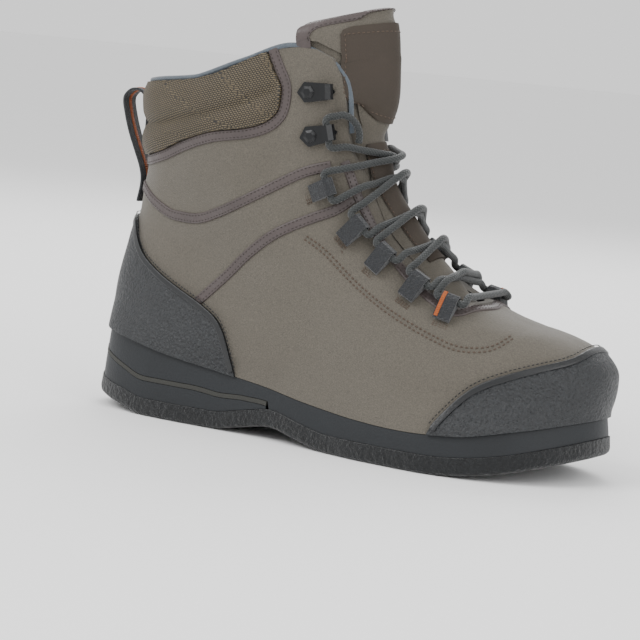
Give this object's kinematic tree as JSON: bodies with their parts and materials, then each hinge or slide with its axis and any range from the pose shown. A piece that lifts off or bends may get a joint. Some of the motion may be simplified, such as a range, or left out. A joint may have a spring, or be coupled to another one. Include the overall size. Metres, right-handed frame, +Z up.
{
  "type": "wading boot",
  "caption": "Ankle-high lace-up wading boot for the right foot, with felt sole, rubber toe cap and heel counter, webbing lace loops and speed hooks.",
  "frame": {"origin": "on the floor under the middle of the heel's flat spot, on the line the sole's outline is laid along", "axes": "+X towards the toe, +Y towards the inner side of the foot, +Z up"},
  "size_m": [0.3148, 0.1144, 0.242],
  "materials": {
    "felt": "dark grey pressed felt, fuzzy and matt",
    "midsole_rubber": "blue-black moulded rubber, satin",
    "olive_foam": "dark olive foam layer, matt",
    "pebbled_rubber": "blue-black coated leather with a pebbled grain, half gloss",
    "upper_fabric": "taupe microfibre, fine nap",
    "pad_weave": "tan and black ballistic weave",
    "trim": "mauve-brown synthetic strip, double stitched",
    "piping": "grey-blue rolled binding",
    "leather": "dark brown smooth leather",
    "webbing": "dark blue-grey woven webbing",
    "lace_cord": "dark grey-green braided round cord",
    "black_metal": "black coated steel, half gloss",
    "insole_foam": "dark grey textile over foam"
  },
  "bodies": {
    "root": {"felt_outsole": "felt", "heel_wedge": "midsole_rubber", "wedge_stripe": "olive_foam", "midsole": "midsole_rubber", "insole": "insole_foam", "upper": "upper_fabric", "toe_cap": "pebbled_rubber", "heel_counter": "pebbled_rubber", "collar_pad": "pad_weave", "pad_trim": "trim", "throat_trim": "trim", "ankle_trim": "trim", "quarter_trim_outer": "trim", "quarter_trim_inner": "trim", "collar_piping": "piping", "tongue": "upper_fabric", "tongue_patch_lower": "leather", "tongue_patch_upper": "leather", "pull_loop": "webbing", "lace_loop_outer_1": "webbing", "lace_loop_outer_2": "webbing", "lace_loop_outer_3": "webbing", "lace_loop_outer_4": "webbing", "lace_loop_outer_5": "webbing", "speed_hook_outer_1": "black_metal", "speed_hook_outer_2": "black_metal", "lace_loop_inner_1": "webbing", "lace_loop_inner_2": "webbing", "lace_loop_inner_3": "webbing", "lace_loop_inner_4": "webbing", "lace_loop_inner_5": "webbing", "speed_hook_inner_1": "black_metal", "speed_hook_inner_2": "black_metal", "lace_bar": "lace_cord", "lace_crossing_1": "lace_cord", "lace_crossing_2": "lace_cord", "lace_crossing_3": "lace_cord", "lace_crossing_4": "lace_cord", "lace_crossing_5": "lace_cord", "lace_end_outer": "lace_cord"}
  },
  "joints": []
}
